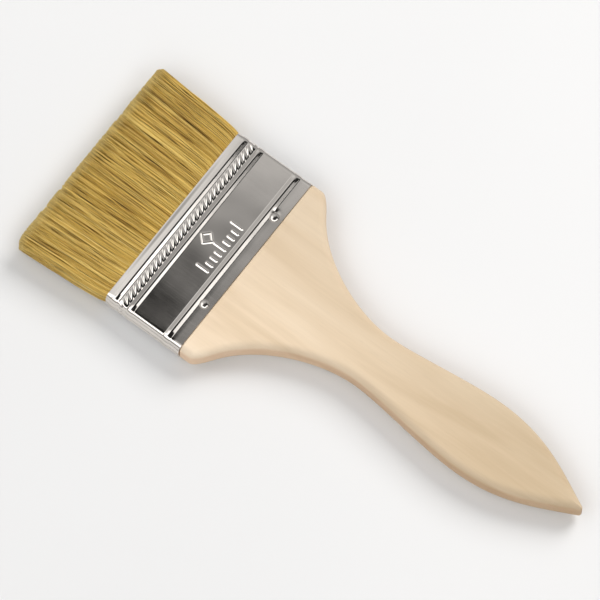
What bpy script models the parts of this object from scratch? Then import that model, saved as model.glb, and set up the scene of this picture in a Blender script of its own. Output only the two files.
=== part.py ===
"""Flat paint brush with a wooden handle, a sheet steel ferrule and two rows of bristle.

The brush lies on its back: X runs across its width, Y along it with the bristles at +Y, Z through its
thickness. The origin is under the middle of the brush, on the surface that it lies on.
Sizes are metres; the constants below are written in millimetres times MM.
"""

import math

import bmesh
import bpy
from mathutils import Matrix, Vector

MM = 0.001

# Driving sizes
BRISTLE_OUT = 37.8 * MM  # from the ferrule's mouth to the bristle tips
FERRULE_LENGTH = 32.5 * MM
HANDLE_OUT = 147.2 * MM  # from the ferrule's heel to the handle's tip
FERRULE_WIDTH = 78.2 * MM  # outside; the brush is sold as 3 inches (76.2 mm) wide
MOUTH_THICKNESS = 9.3 * MM
HEEL_THICKNESS = 10.4 * MM
SHEET = 0.35 * MM
GAP = 0.3 * MM  # left between pieces that touch
HINGE_OUT = 10.0 * MM  # how far out of the mouth the bristles bend

# Places along Y
MOUTH_Y = (FERRULE_LENGTH + HANDLE_OUT - BRISTLE_OUT) / 2
HEEL_Y = MOUTH_Y - FERRULE_LENGTH
TIP_Y = HEEL_Y - HANDLE_OUT
BRISTLE_END_Y = MOUTH_Y + BRISTLE_OUT
HINGE_Y = MOUTH_Y + HINGE_OUT

# Ferrule details, each with its distance from the mouth
CORNER_RADIUS = 2.0 * MM
CORNER_STEPS = 5
BEAD_HEIGHT = 0.55 * MM
BEADS = ((1.9 * MM, 5.0 * MM), (8.75 * MM, 11.8 * MM), (24.7 * MM, 28.2 * MM))
BEAD_STEPS = 6
ROPE_BAND = (5.25 * MM, 8.5 * MM)
ROPE_HEIGHT = 0.3 * MM
ROPE_SLOPE = 0.25 * MM
SEAM_WIDTH = 4.0 * MM
TICK_SIZE = (1.0 * MM, 0.35 * MM)  # width and height of an embossed tick
TICK_SPACING = 2.5 * MM
TICK_LENGTHS = (4.5 * MM, 2.2 * MM, 2.2 * MM, 2.2 * MM, 4.5 * MM, 2.2 * MM, 2.2 * MM, 2.2 * MM, 4.5 * MM)
TICK_BASE = 23.0 * MM
DIAMOND_FROM_MOUTH = 15.2 * MM  # its middle
DIAMOND_HALF = (2.8 * MM, 1.7 * MM)  # half diagonals of its outer and inner outlines
MARK_EDGE = 0.1 * MM

# Nails
NAIL_X = 20.4 * MM
NAIL_FROM_HEEL = 2.9 * MM
NAIL_HEAD_RADIUS = 1.85 * MM
NAIL_HEAD_HEIGHT = 0.8 * MM
NAIL_SHANK_RADIUS = 0.7 * MM
NAIL_SHANK_LENGTH = 4.2 * MM
NAIL_POINT_LENGTH = 1.2 * MM
NAIL_DOME_ANGLES = tuple(math.radians(degrees) for degrees in (65, 40, 20, 0))
NAIL_SEAT = 0.1 * MM
NAIL_SIDES = 24
NAIL_HOLE_RADIUS = NAIL_SHANK_RADIUS + GAP

# Inside the ferrule, each a distance from the mouth
TENON_START = 18.5 * MM
TENON_ROOT = 5.0 * MM  # how far the tenon's block reaches back into the board
SETTING_START = 14.3 * MM
BUTT_DEPTH = 14.0 * MM
SPACER_START = 2.5 * MM
SPACER_THICKNESS = 2.0 * MM
SPACER_HALF_WIDTH = 34.0 * MM
SETTING_ROUNDING = 1.0 * MM

# Handle outline: half widths and distances from the heel, then how far each knot's curve handles reach
HANDLE_THICKNESS = HEEL_THICKNESS
SHOULDER_LENGTH = 4.0 * MM
SHOULDER_TURN = (32.0 * MM, 11.3 * MM)
SHOULDER_SLOPE = math.radians(54.6)
NECK = (10.2 * MM, 56.1 * MM)
SWELL = (14.5 * MM, 102.0 * MM)
TIP_HALF_ANGLE = math.radians(26)
HEEL_REACH = 1.0 * MM
SHOULDER_REACH = 2.1 * MM
TURN_REACH = (5.8 * MM, 16.0 * MM)
NECK_REACH = (15.3 * MM, 11.0 * MM)
SWELL_REACH = (13.5 * MM, 19.8 * MM)
TIP_REACH = 15.5 * MM
HANDLE_ROUNDING = 3.0 * MM
HANDLE_ROUNDING_STEPS = 4
TIP_TRIM = 1.3 * MM  # what the rounding takes off the pointed end
OUTLINE_STEPS = 10

# Bristle rows
SWELL_OUT = 3.0 * MM  # the pack swells over this length once it is out of the mouth
SWELL_HALF_WIDTH = 39.8 * MM
SWELL_HALF_THICKNESS = 4.7 * MM
TIP_HALF_WIDTH = 42.0 * MM
TIP_HALF_THICKNESS = 5.2 * MM
TIP_CORNER = 2.5 * MM
TIP_CORNER_TURN = math.radians(80)
PACK_CORNER = 1.6 * MM
RESERVOIR_LENGTH = 20.0 * MM  # the gap between the rows closes this far out of the mouth
ARC_STEPS = 12
HINGE_GAP = 0.5 * MM

# The middle plane of the brush stands on the heads of the back nails
NAIL_Y = HEEL_Y + NAIL_FROM_HEEL


def outer_half_thickness(y):
    """Half the plain thickness of the ferrule at y, without beads."""
    share = (y - HEEL_Y) / FERRULE_LENGTH
    return (HEEL_THICKNESS + (MOUTH_THICKNESS - HEEL_THICKNESS) * share) / 2


NAIL_SEAT_HEIGHT = outer_half_thickness(NAIL_Y) + NAIL_SEAT
MID_Z = NAIL_SEAT_HEIGHT + NAIL_HEAD_HEIGHT
INNER_HALF_WIDTH = FERRULE_WIDTH / 2 - SHEET - GAP


def inner_half_thickness(y):
    """Half the thickness that fits inside the ferrule at y."""
    return outer_half_thickness(y) - SHEET - GAP


# ---------------------------------------------------------------- scene, materials and helpers


def clear_scene():
    for old in list(bpy.data.objects):
        bpy.data.objects.remove(old, do_unlink=True)


def collection(name):
    found = bpy.data.collections.get(name) or bpy.data.collections.new(name)
    if found.name not in bpy.context.scene.collection.children:
        bpy.context.scene.collection.children.link(found)
    return found


def material(name, colour, roughness, metallic=0.0):
    made = bpy.data.materials.new(name)
    made.use_nodes = True
    shader = made.node_tree.nodes["Principled BSDF"]
    shader.inputs["Base Color"].default_value = (*colour, 1.0)
    shader.inputs["Roughness"].default_value = roughness
    shader.inputs["Metallic"].default_value = metallic
    return made


def move_to(obj, target):
    for held in list(obj.users_collection):
        held.objects.unlink(obj)
    target.objects.link(obj)


def as_part(obj, name, look):
    """Names an object, gives it its material and puts it with the brush's pieces."""
    obj.name = name
    obj.data.name = name
    obj.data.materials.clear()
    obj.data.materials.append(look)
    move_to(obj, collection("paint_brush"))
    return obj


def as_cutter(obj, name):
    obj.name = name
    obj.hide_render = True
    obj.display_type = "WIRE"
    move_to(obj, collection("cutters"))
    return obj


def from_bmesh(build, name):
    """An object whose mesh is what build(bm) makes."""
    bm = bmesh.new()
    build(bm)
    bmesh.ops.recalc_face_normals(bm, faces=bm.faces)
    mesh = bpy.data.meshes.new(name)
    bm.to_mesh(mesh)
    bm.free()
    obj = bpy.data.objects.new(name, mesh)
    bpy.context.scene.collection.objects.link(obj)
    return obj


def box(low, high, name):
    """A box between two corners, made from a primitive cube."""
    low, high = Vector(low), Vector(high)

    def build(bm):
        place = Matrix.Translation((low + high) / 2) @ Matrix.Diagonal((*(high - low), 1.0))
        bmesh.ops.create_cube(bm, size=1.0, matrix=place)

    return from_bmesh(build, name)


def rod(radius, low_z, high_z, x, y, name):
    """An upright cylinder."""

    def build(bm):
        place = Matrix.Translation((x, y, (low_z + high_z) / 2))
        bmesh.ops.create_cone(
            bm,
            cap_ends=True,
            segments=NAIL_SIDES,
            radius1=radius,
            radius2=radius,
            depth=high_z - low_z,
            matrix=place,
        )

    return from_bmesh(build, name)


def rounded_section(y, half_x, half_z, radius):
    """A rounded rectangle round the brush's middle line at y, as a ring of points."""
    points = []
    for corner, (side, face) in enumerate(((1, 1), (-1, 1), (-1, -1), (1, -1))):
        for step in range(CORNER_STEPS + 1):
            angle = math.radians(90) * (corner + step / CORNER_STEPS)
            across = side * (half_x - radius) + radius * math.cos(angle)
            through = face * (half_z - radius) + radius * math.sin(angle)
            points.append(Vector((across, y, MID_Z + through)))
    return points


def loft(bm, sections, capped=False):
    """Joins rings of points into one skin, open or with a flat cap at each end."""
    rings = [[bm.verts.new(point) for point in section] for section in sections]
    for ring, following in zip(rings, rings[1:]):
        for i in range(len(ring)):
            j = (i + 1) % len(ring)
            bm.faces.new((ring[i], ring[j], following[j], following[i]))
    if capped:
        bm.faces.new(rings[0])
        bm.faces.new(rings[-1])


def flat_shape(draw, half_depth, place, name):
    """A filled 2D curve, drawn by draw(curve), with half_depth to each side of its plane, as a mesh."""
    curve = bpy.data.curves.new(name, "CURVE")
    curve.dimensions = "2D"
    curve.fill_mode = "BOTH"
    curve.extrude = half_depth
    curve.resolution_u = OUTLINE_STEPS
    draw(curve)
    guide = bpy.data.objects.new(name, curve)
    bpy.context.scene.collection.objects.link(guide)
    guide.matrix_world = place
    bpy.context.view_layer.update()
    graph = bpy.context.evaluated_depsgraph_get()
    mesh = bpy.data.meshes.new_from_object(guide.evaluated_get(graph))
    bm = bmesh.new()
    bm.from_mesh(mesh)
    bmesh.ops.remove_doubles(bm, verts=bm.verts, dist=1e-6)
    bmesh.ops.transform(bm, matrix=place, verts=bm.verts)
    bmesh.ops.recalc_face_normals(bm, faces=bm.faces)
    bm.to_mesh(mesh)
    bm.free()
    bpy.data.objects.remove(guide, do_unlink=True)
    solid = bpy.data.objects.new(name, mesh)
    bpy.context.scene.collection.objects.link(solid)
    return solid


def draw_polygon(points):
    """A function that draws a closed polygon on a curve."""

    def draw(curve):
        line = curve.splines.new("POLY")
        line.points.add(len(points) - 1)
        for point, (across, along) in zip(line.points, points, strict=True):
            point.co = (across, along, 0.0, 1.0)
        line.use_cyclic_u = True

    return draw


def boolean(obj, other, operation):
    cut = obj.modifiers.new(operation.lower(), "BOOLEAN")
    cut.operation = operation
    cut.solver = "EXACT"
    cut.object = other
    return cut


def round_edges(obj, width, steps, angle=40.0):
    bevel = obj.modifiers.new("rounding", "BEVEL")
    bevel.width = width
    bevel.segments = steps
    bevel.use_clamp_overlap = False
    bevel.limit_method = "ANGLE"
    bevel.angle_limit = math.radians(angle)
    return bevel


def shade(obj, sharp_angle=30.0):
    obj.data.shade_smooth()
    obj.data.set_sharp_from_angle(angle=math.radians(sharp_angle))


PLAN = Matrix.Translation((0.0, 0.0, MID_Z))  # a curve's X and Y are the brush's X and Y
SIDE = Matrix.Translation((0.0, 0.0, MID_Z)) @ Matrix(  # a curve's X and Y are the brush's Z and Y
    ((0, 0, 1, 0), (0, 1, 0, 0), (1, 0, 0, 0), (0, 0, 0, 1))
)


# ---------------------------------------------------------------- handle


def draw_handle_outline(curve):
    """Both sides of the board from past the shoulder to the tip, as one Bezier loop."""
    half = FERRULE_WIDTH / 2
    top = HEEL_Y + 2 * HANDLE_ROUNDING
    turn_back, turn_ahead = TURN_REACH
    neck_back, neck_ahead = NECK_REACH
    swell_back, swell_ahead = SWELL_REACH
    turn_x, turn_s = SHOULDER_TURN
    lean = Vector((math.sin(SHOULDER_SLOPE), math.cos(SHOULDER_SLOPE)))
    tip = Vector((math.sin(TIP_HALF_ANGLE), math.cos(TIP_HALF_ANGLE)))
    up = Vector((0.0, 1.0))
    # each: point, direction that the outline comes from, its handle, direction it goes to, its handle
    right = [
        (Vector((half, top)), up, 0.0, -up, HEEL_REACH),
        (Vector((half, HEEL_Y - SHOULDER_LENGTH)), up, HEEL_REACH, -up, SHOULDER_REACH),
        (Vector((turn_x, HEEL_Y - turn_s)), lean, turn_back, -lean, turn_ahead),
        (Vector((NECK[0], HEEL_Y - NECK[1])), up, neck_back, -up, neck_ahead),
        (Vector((SWELL[0], HEEL_Y - SWELL[1])), up, swell_back, -up, swell_ahead),
    ]
    mirror = Vector((-1.0, 1.0))
    loop = []
    for point, back, back_size, ahead, ahead_size in right:
        loop.append((point, point + back * back_size, point + ahead * ahead_size))
    end = Vector((0.0, TIP_Y - TIP_TRIM))
    reach = tip * TIP_REACH
    loop.append((end, end + reach, end + reach * mirror))
    for point, back, ahead in reversed(loop[:5]):
        loop.append((point * mirror, ahead * mirror, back * mirror))
    spline = curve.splines.new("BEZIER")
    spline.bezier_points.add(len(loop) - 1)
    for knot, (point, back, ahead) in zip(spline.bezier_points, loop, strict=True):
        knot.handle_left_type = "FREE"
        knot.handle_right_type = "FREE"
        knot.co = (*point, 0.0)
        knot.handle_left = (*back, 0.0)
        knot.handle_right = (*ahead, 0.0)
    spline.use_cyclic_u = True


def make_handle(look):
    """The board with its rounded edges, cut square at the heel, and the tenon with its nail holes."""
    handle = flat_shape(draw_handle_outline, HANDLE_THICKNESS / 2, PLAN, "handle")
    round_edges(handle, HANDLE_ROUNDING, HANDLE_ROUNDING_STEPS)
    reach = FERRULE_WIDTH
    square = box((-reach, HEEL_Y - GAP / 2, MID_Z - reach), (reach, MOUTH_Y, MID_Z + reach), "heel_cut")
    boolean(handle, as_cutter(square, "heel_cut"), "DIFFERENCE")
    tenon_y = MOUTH_Y - TENON_START
    tenon_half = inner_half_thickness(tenon_y)
    tenon = box(
        (-INNER_HALF_WIDTH, HEEL_Y - TENON_ROOT, MID_Z - tenon_half),
        (INNER_HALF_WIDTH, tenon_y, MID_Z + tenon_half),
        "tenon",
    )
    round_edges(tenon, CORNER_RADIUS - SHEET, 2)
    boolean(handle, as_cutter(tenon, "tenon"), "UNION")
    for side in (-1, 1):
        hole = rod(NAIL_HOLE_RADIUS, -MM, 2 * MID_Z + MM, side * NAIL_X, NAIL_Y, "nail_hole")
        boolean(handle, as_cutter(hole, "nail_hole"), "DIFFERENCE")
    return as_part(handle, "handle", look)


# ---------------------------------------------------------------- ferrule


def raised(distance):
    """How far the sheet stands out at a distance from the mouth: the beads and the rope band."""
    for start, end in BEADS:
        if start < distance < end:
            return BEAD_HEIGHT * math.sin(math.pi * (distance - start) / (end - start))
    start, end = ROPE_BAND
    if start < distance < end:
        return ROPE_HEIGHT * min(1.0, (distance - start) / ROPE_SLOPE, (end - distance) / ROPE_SLOPE)
    return 0.0


def ferrule_stations():
    """The distances from the mouth where the ferrule has a section."""
    stations = [0.0, FERRULE_LENGTH]
    for start, end in BEADS:
        stations += [start + (end - start) * i / BEAD_STEPS for i in range(BEAD_STEPS + 1)]
    start, end = ROPE_BAND
    stations += [start, start + ROPE_SLOPE, end - ROPE_SLOPE, end]
    return sorted(stations)


def ferrule_section(distance):
    """The ferrule's outside at a distance from the mouth."""
    y = MOUTH_Y - distance
    out = raised(distance)
    return rounded_section(y, FERRULE_WIDTH / 2 + out, outer_half_thickness(y) + out, CORNER_RADIUS)


def build_ferrule_skin(bm):
    loft(bm, [ferrule_section(distance) for distance in ferrule_stations()])


def add_tick_marks(ferrule):
    """A plain scale of raised ticks on the front panel."""
    width, height = TICK_SIZE
    base_y = MOUTH_Y - TICK_BASE
    first_x = -TICK_SPACING * (len(TICK_LENGTHS) - 1) / 2
    for i, length in enumerate(TICK_LENGTHS):
        x = first_x + TICK_SPACING * i
        surface = MID_Z + outer_half_thickness(base_y + length)
        tick = box(
            (x - width / 2, base_y, surface - SHEET / 2),
            (x + width / 2, base_y + length, surface + height),
            "tick",
        )
        round_edges(tick, MARK_EDGE, 1)
        boolean(ferrule, as_cutter(tick, "tick"), "UNION")


def draw_diamond(curve):
    """A square on its corner with a smaller one inside it."""
    for half in DIAMOND_HALF:
        draw_polygon([(half, 0.0), (0.0, half), (-half, 0.0), (0.0, -half)])(curve)


def add_diamond_mark(ferrule):
    """A plain raised diamond on the front panel, above the ticks."""
    y = MOUTH_Y - DIAMOND_FROM_MOUTH
    height = TICK_SIZE[1]
    middle = MID_Z + outer_half_thickness(y) + (height - SHEET / 2) / 2
    diamond = flat_shape(
        draw_diamond, (height + SHEET / 2) / 2, Matrix.Translation((0.0, y, middle)), "diamond"
    )
    round_edges(diamond, MARK_EDGE, 1)
    boolean(ferrule, as_cutter(diamond, "diamond"), "UNION")


def make_ferrule(look):
    ferrule = from_bmesh(build_ferrule_skin, "ferrule")
    thick = ferrule.modifiers.new("sheet", "SOLIDIFY")
    thick.thickness = SHEET
    thick.offset = -1.0
    thick.use_even_offset = True
    side = -FERRULE_WIDTH / 2
    seam = box(
        (side - SHEET, HEEL_Y + GAP, MID_Z - SEAM_WIDTH / 2),
        (side + SHEET / 2, MOUTH_Y - GAP, MID_Z + SEAM_WIDTH / 2),
        "seam_lap",
    )
    boolean(ferrule, as_cutter(seam, "seam_lap"), "UNION")
    add_tick_marks(ferrule)
    add_diamond_mark(ferrule)
    for side in (-1, 1):
        hole = rod(NAIL_HOLE_RADIUS, -MM, 2 * MID_Z + MM, side * NAIL_X, NAIL_Y, "nail_opening")
        boolean(ferrule, as_cutter(hole, "nail_opening"), "DIFFERENCE")
    shade(ferrule, 50.0)
    return as_part(ferrule, "ferrule", look)


# ---------------------------------------------------------------- nails


def make_nail(name, look, x, facing):
    """A turned nail: domed head, shank and point. Its origin is where the head meets the ferrule."""
    head = [(0.0, NAIL_HEAD_HEIGHT)]
    for angle in NAIL_DOME_ANGLES:
        head.append((NAIL_HEAD_RADIUS * math.cos(angle), NAIL_HEAD_HEIGHT * math.sin(angle)))
    shank = [
        (NAIL_SHANK_RADIUS, 0.0),
        (NAIL_SHANK_RADIUS, -NAIL_SHANK_LENGTH + NAIL_POINT_LENGTH),
        (0.0, -NAIL_SHANK_LENGTH),
    ]
    profile = head + shank
    mesh = bpy.data.meshes.new(name)
    edges = [(i, i + 1) for i in range(len(profile) - 1)]
    mesh.from_pydata([(radius, 0.0, height) for radius, height in profile], edges, [])
    nail = bpy.data.objects.new(name, mesh)
    turn = nail.modifiers.new("turned", "SCREW")
    turn.steps = NAIL_SIDES
    turn.render_steps = NAIL_SIDES
    turn.use_merge_vertices = True
    turn.merge_threshold = 0.00001
    nail.location = (x, NAIL_Y, MID_Z + facing * NAIL_SEAT_HEIGHT)
    if facing < 0:
        nail.rotation_euler = (math.pi, 0.0, 0.0)
    bpy.context.scene.collection.objects.link(nail)
    return as_part(nail, name, look)


# ---------------------------------------------------------------- bristles, spacer and setting


def flare(y, inner, swell, tip):
    """A half size of the bristle pack at y: even in the ferrule, a quick swell at its mouth, a slow flare."""
    out = max(0.0, y - MOUTH_Y)
    if out < SWELL_OUT:
        return inner + (swell - inner) * out / SWELL_OUT
    return swell + (tip - swell) * (out - SWELL_OUT) / (BRISTLE_OUT - SWELL_OUT)


def bristle_half_width(y):
    return flare(y, INNER_HALF_WIDTH, SWELL_HALF_WIDTH, TIP_HALF_WIDTH)


def row_outside(y):
    """Half the thickness of the whole bristle pack at y."""
    return flare(y, inner_half_thickness(min(y, MOUTH_Y)), SWELL_HALF_THICKNESS, TIP_HALF_THICKNESS)


def row_inside(y):
    """Half the gap between the two rows at y: the spacer, then the reservoir, then closed."""
    start = SPACER_THICKNESS / 2 + GAP
    share = min(1.0, max(0.0, (y - MOUTH_Y) / RESERVOIR_LENGTH))
    return start + (GAP / 2 - start) * share


def pack_section(y, trim=0.0):
    """The outline of both rows together at y, drawn in by trim."""
    return rounded_section(y, bristle_half_width(y) - trim, row_outside(y) - trim / 2, PACK_CORNER)


def build_pack(bm):
    """Both rows as one body: straight in the ferrule, flared outside it, rounded off at the tips."""
    sections = [pack_section(y) for y in (MOUTH_Y - BUTT_DEPTH, MOUTH_Y, MOUTH_Y + SWELL_OUT)]
    for step in range(CORNER_STEPS + 1):
        angle = TIP_CORNER_TURN * step / CORNER_STEPS
        y = BRISTLE_END_Y - TIP_CORNER * (1 - math.sin(angle) / math.sin(TIP_CORNER_TURN))
        sections.append(pack_section(y, TIP_CORNER * (1 - math.cos(angle))))
    loft(bm, sections, capped=True)


def hinge_arc(radius, low_z):
    """Half of the round joint between root and ends, from its widest point in to low_z."""
    widest = math.asin(low_z / radius)
    points = []
    for step in range(ARC_STEPS + 1):
        angle = math.radians(90) + (widest - math.radians(90)) * step / ARC_STEPS
        points.append((radius * math.sin(angle), HINGE_Y - radius * math.cos(angle)))
    return points


def root_profile():
    """Side view of the front row's fixed root, as (z, y) points from the middle plane."""
    butt_y = MOUTH_Y - BUTT_DEPTH
    arc = hinge_arc(row_outside(HINGE_Y) + HINGE_GAP, row_inside(HINGE_Y))
    inside = [(row_inside(MOUTH_Y), MOUTH_Y), (row_inside(butt_y), butt_y)]
    return [(MID_Z, butt_y), (MID_Z, HINGE_Y)] + arc + inside


def ends_profile():
    """Side view of the front row's free ends, as (z, y) points from the middle plane."""
    arc = hinge_arc(row_outside(HINGE_Y), row_inside(HINGE_Y))
    closed_y = MOUTH_Y + RESERVOIR_LENGTH
    end_y = BRISTLE_END_Y + GAP
    inside = [(row_inside(closed_y), closed_y), (row_inside(end_y), end_y)]
    return [(MID_Z, end_y), (MID_Z, HINGE_Y)] + arc + inside


def make_row(name, look, profile, facing):
    """One row of bristle: its side view drawn out across the brush, kept inside the pack."""
    points = [(facing * z, y) for z, y in profile]
    row = flat_shape(draw_polygon(points), FERRULE_WIDTH, SIDE, name)
    pack = from_bmesh(build_pack, name + "_pack")
    boolean(row, as_cutter(pack, name + "_pack"), "INTERSECT")
    return as_part(row, name, look)


def make_spacer(look):
    start_y = MOUTH_Y - BUTT_DEPTH
    end_y = MOUTH_Y - SPACER_START
    half = SPACER_THICKNESS / 2
    spacer = box(
        (-SPACER_HALF_WIDTH, start_y, MID_Z - half), (SPACER_HALF_WIDTH, end_y, MID_Z + half), "spacer"
    )
    return as_part(spacer, "spacer_strip", look)


def make_setting(look):
    start_y = MOUTH_Y - TENON_START + GAP
    end_y = MOUTH_Y - SETTING_START
    half = inner_half_thickness(end_y)
    setting = box(
        (-INNER_HALF_WIDTH, start_y, MID_Z - half), (INNER_HALF_WIDTH, end_y, MID_Z + half), "setting"
    )
    round_edges(setting, SETTING_ROUNDING, 2)
    return as_part(setting, "bristle_setting", look)


# ---------------------------------------------------------------- the brush


def hinge_empty():
    """The axis that the free bristle bends about."""
    axis = bpy.data.objects.new("bristle_hinge", None)
    axis.location = (0.0, HINGE_Y, MID_Z)
    axis.empty_display_size = FERRULE_WIDTH / 4
    collection("paint_brush").objects.link(axis)
    return axis


def attach(obj, parent):
    """Parents an object without moving it."""
    bpy.context.view_layer.update()
    obj.parent = parent
    obj.matrix_parent_inverse = parent.matrix_world.inverted()


def main():
    clear_scene()
    make_handle(material("pale_wood", (0.86, 0.73, 0.54), 0.55))
    make_ferrule(material("tinned_steel", (0.72, 0.70, 0.68), 0.18, 1.0))
    for facing, face in ((1, "front"), (-1, "back")):
        for side, hand in ((-1, "left"), (1, "right")):
            name = f"nail_{face}_{hand}"
            make_nail(name, material(name, (0.62, 0.60, 0.57), 0.25, 1.0), side * NAIL_X, facing)
    make_spacer(material("spacer_wood", (0.70, 0.56, 0.38), 0.7))
    make_setting(material("resin", (0.45, 0.33, 0.16), 0.35))
    axis = hinge_empty()
    for facing, face in ((1, "front"), (-1, "back")):
        root_look = material(f"bristle_root_{face}", (0.52, 0.36, 0.12), 0.6)
        make_row(f"bristle_root_{face}", root_look, root_profile(), facing)
        ends_look = material(f"bristle_ends_{face}", (0.56, 0.40, 0.15), 0.6)
        ends = make_row(f"bristle_ends_{face}", ends_look, ends_profile(), facing)
        attach(ends, axis)


main()
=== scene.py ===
"""Looks of a flat paint brush: bare wood handle, tinned ferrule, nails and thousands of separate bristles.

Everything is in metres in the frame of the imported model: X across the brush, Y towards the bristle tips,
Z out of the front face. Distances marked "from the mouth" run down the ferrule, towards the handle.
"""

import math

import bpy
import numpy as np
from mathutils import Matrix, Quaternion, Vector


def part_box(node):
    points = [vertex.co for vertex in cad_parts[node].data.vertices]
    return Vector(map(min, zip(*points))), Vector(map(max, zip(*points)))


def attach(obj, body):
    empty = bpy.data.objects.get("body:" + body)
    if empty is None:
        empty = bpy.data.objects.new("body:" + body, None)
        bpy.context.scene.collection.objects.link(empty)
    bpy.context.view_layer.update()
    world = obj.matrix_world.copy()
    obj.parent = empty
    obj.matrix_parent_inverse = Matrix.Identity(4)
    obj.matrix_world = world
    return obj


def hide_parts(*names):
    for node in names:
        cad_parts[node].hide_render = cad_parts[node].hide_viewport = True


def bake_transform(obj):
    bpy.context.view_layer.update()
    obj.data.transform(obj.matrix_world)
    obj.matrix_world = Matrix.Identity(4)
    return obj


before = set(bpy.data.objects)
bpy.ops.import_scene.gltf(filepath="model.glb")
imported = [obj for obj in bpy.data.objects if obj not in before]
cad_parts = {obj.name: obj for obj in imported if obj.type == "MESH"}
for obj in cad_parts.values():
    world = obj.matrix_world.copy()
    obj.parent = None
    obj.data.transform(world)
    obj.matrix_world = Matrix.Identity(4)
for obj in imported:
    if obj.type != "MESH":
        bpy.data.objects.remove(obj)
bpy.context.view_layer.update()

MM = 0.001
SEED = 7

# ---------------------------------------------------------------- places read from the frame

FERRULE_LOW, FERRULE_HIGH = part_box("ferrule")
HANDLE_LOW, HANDLE_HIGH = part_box("handle")
_, TIPS_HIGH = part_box("bristle_ends_front")
MOUTH_Y = FERRULE_HIGH.y
HEEL_Y = FERRULE_LOW.y
TIP_Y = HANDLE_LOW.y
MID_Z = (HANDLE_LOW.z + HANDLE_HIGH.z) / 2
FERRULE_LENGTH = MOUTH_Y - HEEL_Y
BRISTLE_OUT = TIPS_HIGH.y - MOUTH_Y
HALF_WIDTH = HANDLE_HIGH.x
HEEL_HALF = (HANDLE_HIGH.z - HANDLE_LOW.z) / 2

# ---------------------------------------------------------------- sizes of the details

MOUTH_HALF = 4.65 * MM  # half the ferrule's thickness at its mouth
SHEET = 0.35 * MM
CORNER_RADIUS = 2.0 * MM
WIDE_POINTS = 341  # points across a wide face of the ferrule
NARROW_POINTS = 31
CORNER_POINTS = 9

# How steeply the sheet rises (degrees, falling if negative) at distances in mm from the mouth
SLOPES = (
    # mouth band and first bead
    (0.0, 8.0), (1.9, 8.0), (2.1, 15.0), (3.15, 15.0), (3.3, -1.0), (3.75, -13.0), (3.87, -22.0),
    (4.85, -22.0), (5.0, 0.0),
    # bead below the rope band
    (8.6, 0.0), (8.75, 24.0), (10.05, 24.0), (10.17, -1.0), (10.6, -13.0), (10.72, -21.0), (11.7, -21.0),
    (11.85, 0.0),
    # bead near the heel
    (24.75, 0.0), (24.9, 20.5), (26.2, 20.5), (26.33, -1.0), (26.78, -13.0), (26.9, -20.0), (28.1, -20.0),
    # heel band
    (28.25, 0.3), (29.5, 2.6), (32.5, 2.6),
)
MOUTH_BAND = 2.0 * MM
BEADS = ((2.0 * MM, 5.0 * MM), (8.6 * MM, 11.9 * MM), (24.7 * MM, 28.3 * MM))
ROPE_MIDDLE = 6.9 * MM
ROPE_HALF = 1.72 * MM
ROPE_PITCH = 2.42 * MM
ROPE_HEIGHT = 0.46 * MM
ROPE_LEAN = 1.15 * MM
SEAM_HALF = 1.9 * MM
SEAM_HEIGHT = 0.25 * MM
FOLD_LINES = (1.1 * MM, -1.5 * MM)
FOLD_HEIGHT = 0.3 * MM
PANEL_BOW = 0.36 * MM
DENT = (22.3 * MM, 28.9 * MM)  # beside the right-hand nail: x, distance from the mouth
DENT_SIZE = 1.0 * MM
DENT_DEPTH = 0.09 * MM

MARK_WIDTH = 1.6 * MM
MARK_HEIGHT = 0.4 * MM
TICKS = 9
TICK_SPACING = 2.5 * MM
TICK_BASE = 23.0 * MM
LONG_TICK = 4.5 * MM
SHORT_TICK = 2.2 * MM
DIAMOND_MIDDLE = 15.2 * MM
DIAMOND_HALF = 2.4 * MM

NAIL_FROM_HEEL = 2.9 * MM
NAIL_HEAD_RADIUS = 1.85 * MM
NAIL_HEAD_HEIGHT = 0.85 * MM
NAIL_SHANK_RADIUS = 0.7 * MM
NAIL_SHANK_LENGTH = 4.2 * MM
NAIL_SIDES = 40
NAIL_DOME_POINTS = 13

# Handle outline: half widths and distances from the heel, then how far each knot's curve handles reach
SHOULDER_LENGTH = 4.0 * MM
SHOULDER_TURN = (32.0 * MM, 11.3 * MM)
SHOULDER_SLOPE = math.radians(54.6)
NECK = (10.2 * MM, 56.1 * MM)
SWELL = (14.5 * MM, 102.0 * MM)
TIP_HALF_ANGLE = math.radians(26)
SHOULDER_REACH = 2.1 * MM
TURN_REACH = (5.8 * MM, 16.0 * MM)
NECK_REACH = (15.3 * MM, 11.0 * MM)
SWELL_REACH = (13.5 * MM, 19.8 * MM)
TIP_REACH = 15.5 * MM
TIP_RADIUS = 1.1 * MM
EDGE_RADIUS = 3.0 * MM
EDGE_STEPS = 9
FACE_STEPS = 20
HEEL_EDGE = 0.25 * MM  # how far the board's end is drawn in under the ferrule
TENON_CLEARANCE = 0.3 * MM
TENON_OVERLAP = 1.0 * MM  # how far the tenon reaches back into the board

# Bristles
SWELL_OUT = 2.5 * MM  # how quickly the hairs swell out of the mouth
SWELL_HALF_X = 39.3 * MM
SWELL_HALF_Z = 4.6 * MM

# ---------------------------------------------------------------- mesh helpers


def mesh_object(name, verts, faces, look, sharp=None):
    """A smooth-shaded mesh object from arrays, with creases where it bends more than sharp degrees."""
    mesh = bpy.data.meshes.new(name)
    mesh.from_pydata(verts.tolist(), [], faces)
    mesh.materials.append(look)
    mesh.polygons.foreach_set("use_smooth", [True] * len(mesh.polygons))
    if sharp is not None:
        mesh.set_sharp_from_angle(angle=math.radians(sharp))
    mesh.update()
    obj = bpy.data.objects.new(name, mesh)
    bpy.context.scene.collection.objects.link(obj)
    return obj


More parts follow.
